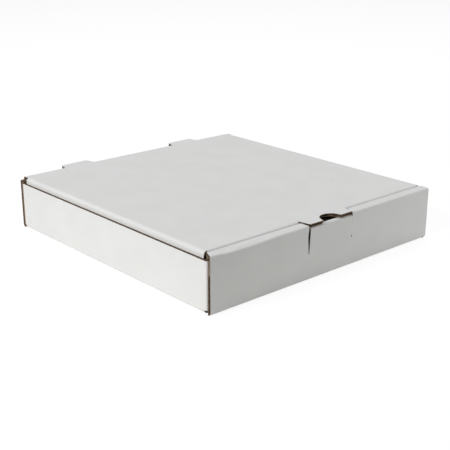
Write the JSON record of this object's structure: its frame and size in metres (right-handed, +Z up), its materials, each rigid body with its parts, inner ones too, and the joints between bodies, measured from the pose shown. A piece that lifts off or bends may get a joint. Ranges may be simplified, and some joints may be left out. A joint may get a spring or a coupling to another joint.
{
  "type": "pizza box",
  "caption": "Square corrugated pizza box with a hinged lid, a rolled front wall, a front tab with a thumb notch, and hinge tabs at the rear.",
  "frame": {"origin": "on the table, at the centre of the rectangle that the four walls stand on", "axes": "+X to the right along the front, +Y from the front that opens to the hinge at the rear, +Z up"},
  "size_m": [0.311, 0.333, 0.0574],
  "materials": {
    "tray_board": "matte",
    "lid_board": "matte"
  },
  "bodies": {
    "tray": {"tray": "tray_board"},
    "lid": {"lid": "lid_board"}
  },
  "joints": [
    {"name": "lid_hinge", "type": "hinge", "parent": "tray", "child": "lid", "pos_m": [0, 0.1595, 0.0559], "axis": [-1, 0, 0], "range_deg": [0, 180]}
  ]
}
